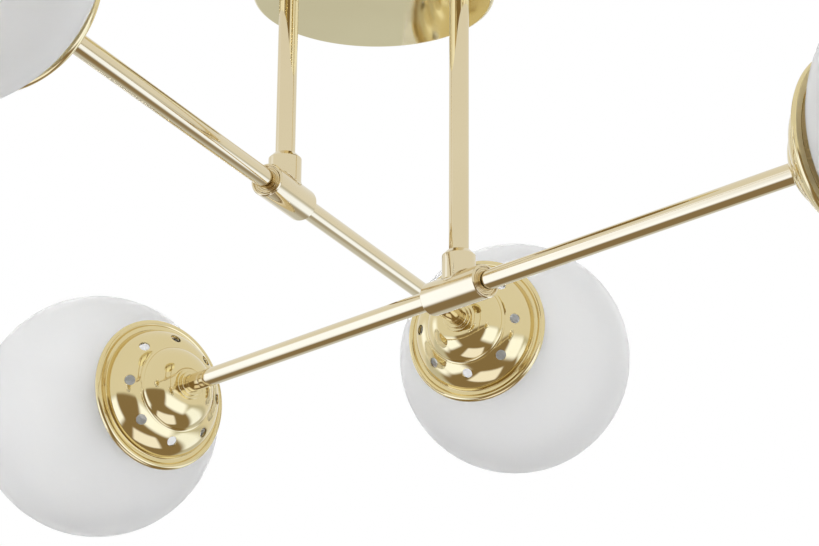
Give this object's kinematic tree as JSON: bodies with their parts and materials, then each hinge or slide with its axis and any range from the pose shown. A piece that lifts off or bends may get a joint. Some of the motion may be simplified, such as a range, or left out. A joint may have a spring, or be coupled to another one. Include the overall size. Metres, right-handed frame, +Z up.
{
  "type": "semi-flush ceiling light",
  "caption": "Brass ceiling light with down rods of unequal length, swivelling cross arms, vented bell caps and opal glass globes.",
  "frame": {"origin": "middle of the ceiling strap's top face, where it lies on the ceiling", "axes": "+Z up into the ceiling, +X from the short down rod to the long one, +Y away from the viewer of the picture; every piece hangs below the origin"},
  "size_m": [0.5984, 0.7436, 0.253],
  "materials": {
    "polished_brass": "polished and lacquered",
    "raw_brass": "plain turned",
    "zinc_steel": "zinc plated",
    "nickel_cap": "satin",
    "opal_glass": "satin opal",
    "frosted_glass": "frosted",
    "white_ceramic": "glazed",
    "block_plastic": "matte",
    "cable_sheath": "smooth matte",
    "fibre_washer": "matte"
  },
  "bodies": {
    "mounting": {"ceiling_strap": "zinc_steel", "ceiling_cup": "polished_brass", "cup_side_screws": "polished_brass", "earth_screw": "zinc_steel", "terminal_block": "block_plastic", "terminal_screws": "zinc_steel", "rod_nipples": "raw_brass", "cup_rod_washers": "zinc_steel", "cup_rod_nuts": "raw_brass", "swivel_nuts": "raw_brass", "rod_cables": "cable_sheath", "left_down_rod": "polished_brass", "right_down_rod": "polished_brass"},
    "left_arm": {"left_tee_collar": "polished_brass", "left_swivel_washer": "fibre_washer", "left_arm_sleeve": "polished_brass", "left_sleeve_rings": "polished_brass", "left_arm_cables": "cable_sheath", "left_front_arm_tube": "polished_brass", "left_front_cap": "polished_brass", "left_front_cap_nut": "polished_brass", "left_front_lug_ring": "raw_brass", "left_front_lampholder": "white_ceramic", "left_front_socket_contacts": "raw_brass", "left_front_lamp_cap": "nickel_cap", "left_front_lamp_glass": "frosted_glass", "left_rear_arm_tube": "polished_brass", "left_rear_cap": "polished_brass", "left_rear_cap_nut": "polished_brass", "left_rear_lug_ring": "raw_brass", "left_rear_lampholder": "white_ceramic", "left_rear_socket_contacts": "raw_brass", "left_rear_lamp_cap": "nickel_cap", "left_rear_lamp_glass": "frosted_glass"},
    "left_front_globe": {"left_front_globe": "opal_glass"},
    "left_rear_globe": {"left_rear_globe": "opal_glass"},
    "right_arm": {"right_tee_collar": "polished_brass", "right_swivel_washer": "fibre_washer", "right_arm_sleeve": "polished_brass", "right_sleeve_rings": "polished_brass", "right_arm_cables": "cable_sheath", "right_front_arm_tube": "polished_brass", "right_front_cap": "polished_brass", "right_front_cap_nut": "polished_brass", "right_front_lug_ring": "raw_brass", "right_front_lampholder": "white_ceramic", "right_front_socket_contacts": "raw_brass", "right_front_lamp_cap": "nickel_cap", "right_front_lamp_glass": "frosted_glass", "right_rear_arm_tube": "polished_brass", "right_rear_cap": "polished_brass", "right_rear_cap_nut": "polished_brass", "right_rear_lug_ring": "raw_brass", "right_rear_lampholder": "white_ceramic", "right_rear_socket_contacts": "raw_brass", "right_rear_lamp_cap": "nickel_cap", "right_rear_lamp_glass": "frosted_glass"},
    "right_front_globe": {"right_front_globe": "opal_glass"},
    "right_rear_globe": {"right_rear_globe": "opal_glass"}
  },
  "joints": [
    {"name": "left_arm_swivel", "type": "hinge", "parent": "mounting", "child": "left_arm", "pos_m": [-0.044, 0, -0.129], "axis": [0, 0, 1], "range_deg": [-40, 10]},
    {"name": "left_front_globe_turn", "type": "hinge", "parent": "left_arm", "child": "left_front_globe", "pos_m": [-0.14091, -0.30183, -0.129], "axis": [-0.3057, -0.9521, 0], "range_deg": [0, 60]},
    {"name": "left_rear_globe_turn", "type": "hinge", "parent": "left_arm", "child": "left_rear_globe", "pos_m": [0.05291, 0.30183, -0.129], "axis": [0.3057, 0.9521, 0], "range_deg": [0, 60]},
    {"name": "right_arm_swivel", "type": "hinge", "parent": "mounting", "child": "right_arm", "pos_m": [0.044, 0, -0.183], "axis": [0, 0, 1], "range_deg": [-10, 40]},
    {"name": "right_front_globe_turn", "type": "hinge", "parent": "right_arm", "child": "right_front_globe", "pos_m": [0.27318, -0.21901, -0.183], "axis": [0.723, -0.6909, 0], "range_deg": [0, 60]},
    {"name": "right_rear_globe_turn", "type": "hinge", "parent": "right_arm", "child": "right_rear_globe", "pos_m": [-0.18518, 0.21901, -0.183], "axis": [-0.723, 0.6909, 0], "range_deg": [0, 60]}
  ]
}
